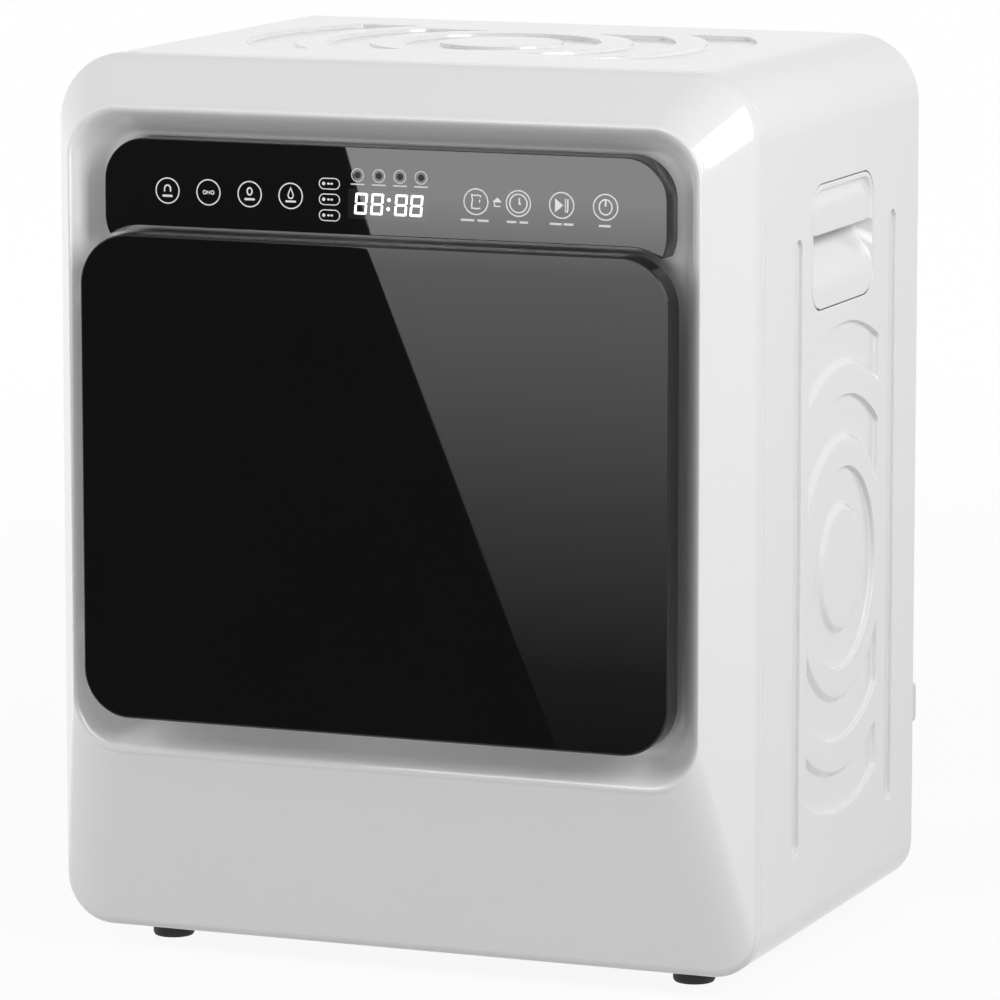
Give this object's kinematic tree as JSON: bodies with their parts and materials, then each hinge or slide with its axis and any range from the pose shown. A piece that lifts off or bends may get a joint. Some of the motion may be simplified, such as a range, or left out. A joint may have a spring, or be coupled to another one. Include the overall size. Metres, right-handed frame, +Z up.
{
  "type": "vented tumble dryer",
  "caption": "Compact front-loading vented dryer: sloping white cabinet with ringed reliefs, tinted side-hinged door, touch strip, belt-driven drum and rear exhaust collar.",
  "frame": {"origin": "on the floor under the middle of the overall box", "axes": "+X to the right seen from the front, +Y to the back, +Z up"},
  "size_m": [0.49, 0.411, 0.6],
  "materials": {
    "white_gloss": "glossy white moulded plastic",
    "white_satin": "satin white plastic",
    "black_glass": "black back-printed glass",
    "door_tint": "dark tinted glass",
    "clear_glass": "clear moulded window",
    "black_plastic": "satin black plastic",
    "coated_steel": "white coated sheet steel",
    "zinc_steel": "zinc coated sheet steel",
    "stainless": "brushed stainless steel",
    "bright_steel": "plated steel",
    "rubber": "black rubber",
    "grey_rubber": "grey silicone rubber",
    "felt": "grey felt",
    "bronze": "sintered bronze",
    "cast_alloy": "cast light alloy",
    "board_green": "circuit board",
    "display_black": "digit display",
    "glide": "low-friction plastic",
    "motor_grey": "dark grey painted motor can",
    "ceramic": "heating block",
    "tray_grey": "grey structural plastic",
    "vane_grey": "light grey satin plastic",
    "spacer_white": "satin white plastic"
  },
  "bodies": {
    "cabinet": {"cabinet_wrap": "white_gloss", "front_fascia": "white_gloss", "rear_panel": "coated_steel", "base_tray": "tray_grey", "feet": "rubber", "grip_right": "white_gloss", "grip_left": "white_gloss", "panel_glass": "black_glass", "panel_carrier": "black_plastic", "control_board": "board_green", "display_module": "display_black", "front_bulkhead": "zinc_steel", "opening_throat": "white_satin", "door_gasket": "grey_rubber", "front_felt": "felt", "drum_glides": "glide", "front_duct": "white_satin", "blower_housing": "white_satin", "exhaust_duct": "white_satin", "exhaust_spigot": "white_satin", "motor_body": "motor_grey", "motor_bracket": "zinc_steel", "drive_belt": "rubber", "rear_bulkhead": "zinc_steel", "bearing_housing": "cast_alloy", "bearing_bush": "bronze", "heater_housing": "zinc_steel", "heater_element": "ceramic", "thermostats": "black_plastic", "intake_grille": "white_satin", "power_board_box": "white_satin", "run_capacitor": "cast_alloy", "cord_gland": "black_plastic", "wall_spacers": "spacer_white", "hinge_brackets": "bright_steel", "hinge_screws": "bright_steel", "latch_catch": "black_plastic", "door_switch": "black_plastic", "rear_screws": "bright_steel"},
    "door": {"door_glass": "door_tint", "door_frame": "black_plastic", "door_liner": "white_satin", "door_window": "clear_glass", "hinge_pins": "bright_steel", "latch_hook": "black_plastic"},
    "drum": {"drum_shell": "stainless", "drum_back": "stainless", "drum_vanes": "vane_grey", "drum_shaft": "bright_steel"},
    "rotor": {"motor_shaft": "bright_steel", "motor_pulley": "cast_alloy", "blower_impeller": "black_plastic"},
    "idler_lever": {"idler_arm": "bright_steel"},
    "idler_roller": {"idler_wheel": "black_plastic"},
    "lint_filter": {"lint_filter_frame": "black_plastic", "lint_filter_mesh": "stainless"},
    "switch_pin": {"switch_plunger": "glide"},
    "latch_pawl": {"latch_lever": "bright_steel"}
  },
  "joints": [
    {"name": "door_hinge", "type": "hinge", "parent": "cabinet", "child": "door", "pos_m": [-0.195, -0.192, 0.3303], "axis": [0, 0, -1], "range_deg": [0, 105]},
    {"name": "drum_spin", "type": "hinge", "parent": "cabinet", "child": "drum", "pos_m": [0, 0, 0.345], "axis": [0, 1, 0], "continuous": true},
    {"name": "rotor_spin", "type": "hinge", "parent": "cabinet", "child": "rotor", "pos_m": [-0.1, 0, 0.097], "axis": [0, 1, 0], "continuous": true},
    {"name": "idler_swing", "type": "hinge", "parent": "cabinet", "child": "idler_lever", "pos_m": [-0.02923, 0.016, 0.0502], "axis": [0, 1, 0], "range_deg": [0, 12], "stiffness_Nm_per_rad": 2},
    {"name": "idler_spin", "type": "hinge", "parent": "idler_lever", "child": "idler_roller", "pos_m": [-0.02923, 0.016, 0.0962], "axis": [0, 1, 0], "continuous": true},
    {"name": "filter_slide", "type": "slide", "parent": "cabinet", "child": "lint_filter", "axis": [0, 0, 1], "range_m": [0, 0.1]},
    {"name": "switch_travel", "type": "slide", "parent": "cabinet", "child": "switch_pin", "axis": [0, -1, 0], "range_m": [0, 0.0025]},
    {"name": "latch_swing", "type": "hinge", "parent": "cabinet", "child": "latch_pawl", "pos_m": [0.173, -0.156, 0.3303], "axis": [0, 0, -1], "range_deg": [0, 20], "stiffness_Nm_per_rad": 0.02}
  ],
  "couplings": [
    {"joint": "rotor_spin", "follows": "drum_spin", "ratio": 15.03},
    {"joint": "idler_spin", "follows": "drum_spin", "ratio": -14.464},
    {"joint": "switch_travel", "follows": "door_hinge", "m_per_rad": 0.00136}
  ]
}
